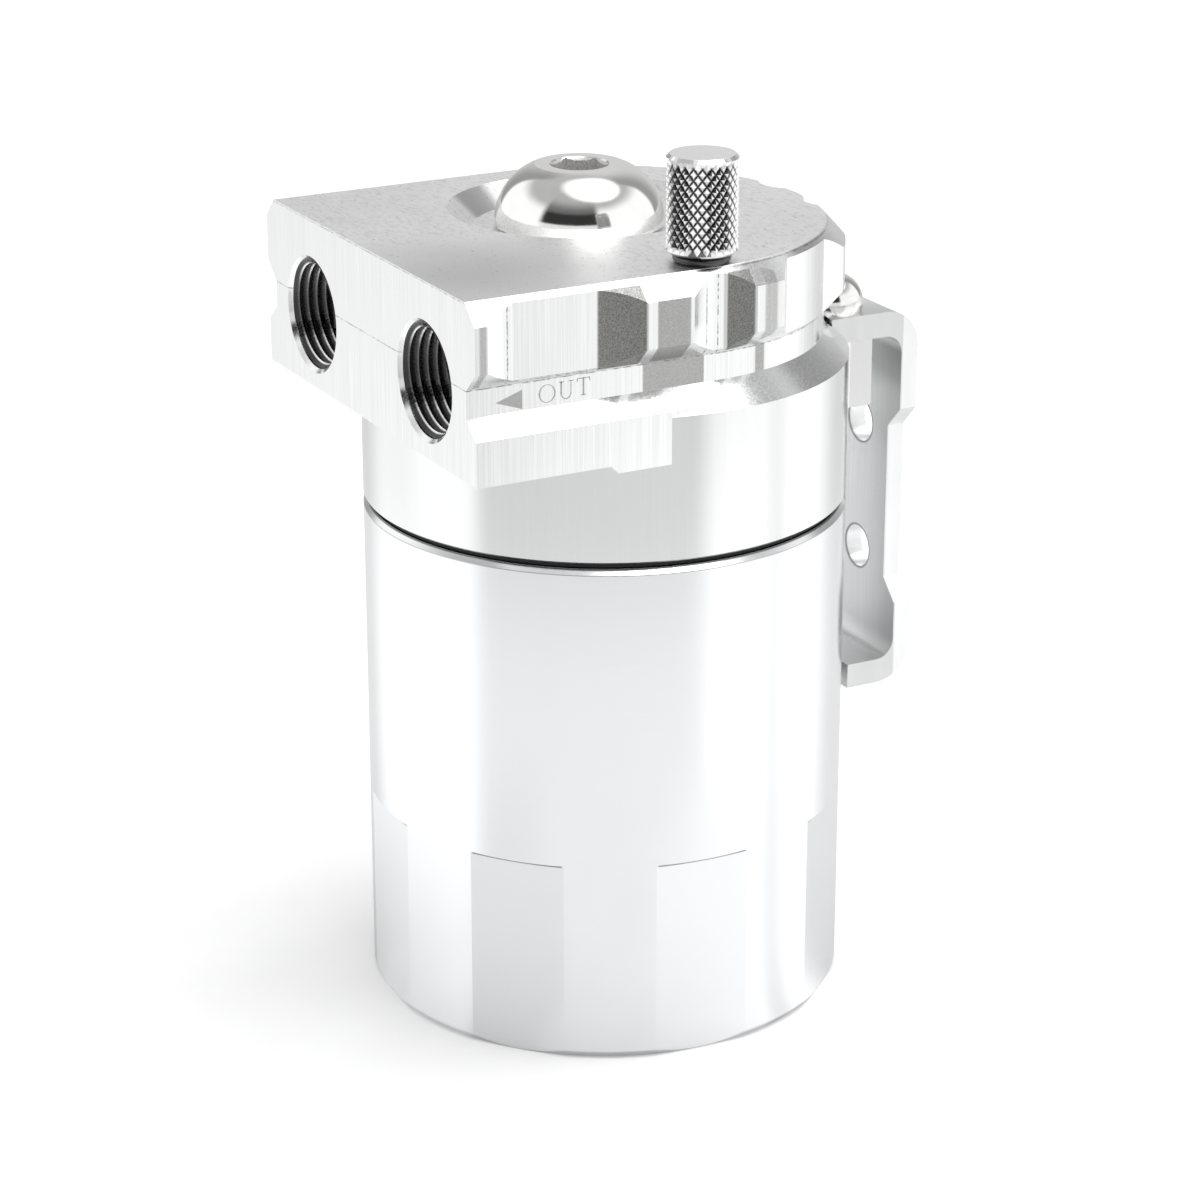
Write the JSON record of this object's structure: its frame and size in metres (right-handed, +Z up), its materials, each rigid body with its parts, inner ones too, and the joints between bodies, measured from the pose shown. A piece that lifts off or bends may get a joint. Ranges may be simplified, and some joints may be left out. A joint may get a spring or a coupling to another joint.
{
  "type": "oil catch can",
  "caption": "Baffled oil catch can: a turned can screwed onto a milled head with threaded ports, breather plug, knurled dipstick and wall bracket.",
  "frame": {"origin": "on the axis of the can, at the underside of its base", "axes": "+Z up along the axis of the can, -Y towards the face with the ports, +Y towards the wall bracket, +X the side with the outlet mark and the dipstick"},
  "size_m": [0.075, 0.0899, 0.1392],
  "materials": {
    "milled_aluminium": "bright milled, clear anodised",
    "turned_aluminium": "turned satin, clear anodised",
    "bright_steel": "bright plated",
    "sheet_aluminium": "satin",
    "seal_rubber": "matte",
    "steel_mesh": "knitted wire"
  },
  "bodies": {
    "head": {"head": "milled_aluminium", "bracket": "milled_aluminium", "bracket_screw_1": "bright_steel", "bracket_screw_2": "bright_steel", "inlet_tube": "turned_aluminium", "baffle_disc": "sheet_aluminium", "mesh_pad": "steel_mesh", "baffle_spacer_1": "turned_aluminium", "baffle_spacer_2": "turned_aluminium", "baffle_spacer_3": "turned_aluminium", "baffle_screw_1": "bright_steel", "baffle_screw_2": "bright_steel", "baffle_screw_3": "bright_steel"},
    "can_seal": {"can_seal": "seal_rubber"},
    "can": {"can": "turned_aluminium"},
    "plug_washer": {"plug_washer": "seal_rubber"},
    "breather_plug": {"breather_plug": "bright_steel"},
    "dipstick_seal": {"dipstick_seal": "seal_rubber"},
    "dipstick": {"dipstick_knob": "bright_steel", "dipstick_rod": "bright_steel"}
  },
  "joints": [
    {"name": "can_travel", "type": "slide", "parent": "head", "child": "can_seal", "axis": [0, 0, -1], "range_m": [0, 0.0105]},
    {"name": "can_turn", "type": "hinge", "parent": "can_seal", "child": "can", "pos_m": [0, 0, 0.0798], "axis": [0, 0, -1], "range_deg": [0, 2520]},
    {"name": "plug_travel", "type": "slide", "parent": "head", "child": "plug_washer", "axis": [0, 0, 1], "range_m": [0, 0.015]},
    {"name": "plug_turn", "type": "hinge", "parent": "plug_washer", "child": "breather_plug", "pos_m": [-0.0082, 0, 0.1207], "axis": [0, 0, 1], "range_deg": [0, 3600]},
    {"name": "dipstick_travel", "type": "slide", "parent": "head", "child": "dipstick_seal", "axis": [0, 0, 1], "range_m": [0, 0.009]},
    {"name": "dipstick_turn", "type": "hinge", "parent": "dipstick_seal", "child": "dipstick", "pos_m": [0.0296, 0, 0.1247], "axis": [0, 0, 1], "range_deg": [0, 3240]}
  ],
  "couplings": [
    {"joint": "can_turn", "follows": "can_travel", "rad_per_m": 4188.8},
    {"joint": "plug_turn", "follows": "plug_travel", "rad_per_m": 4188.8},
    {"joint": "dipstick_turn", "follows": "dipstick_travel", "rad_per_m": 6283.2}
  ]
}
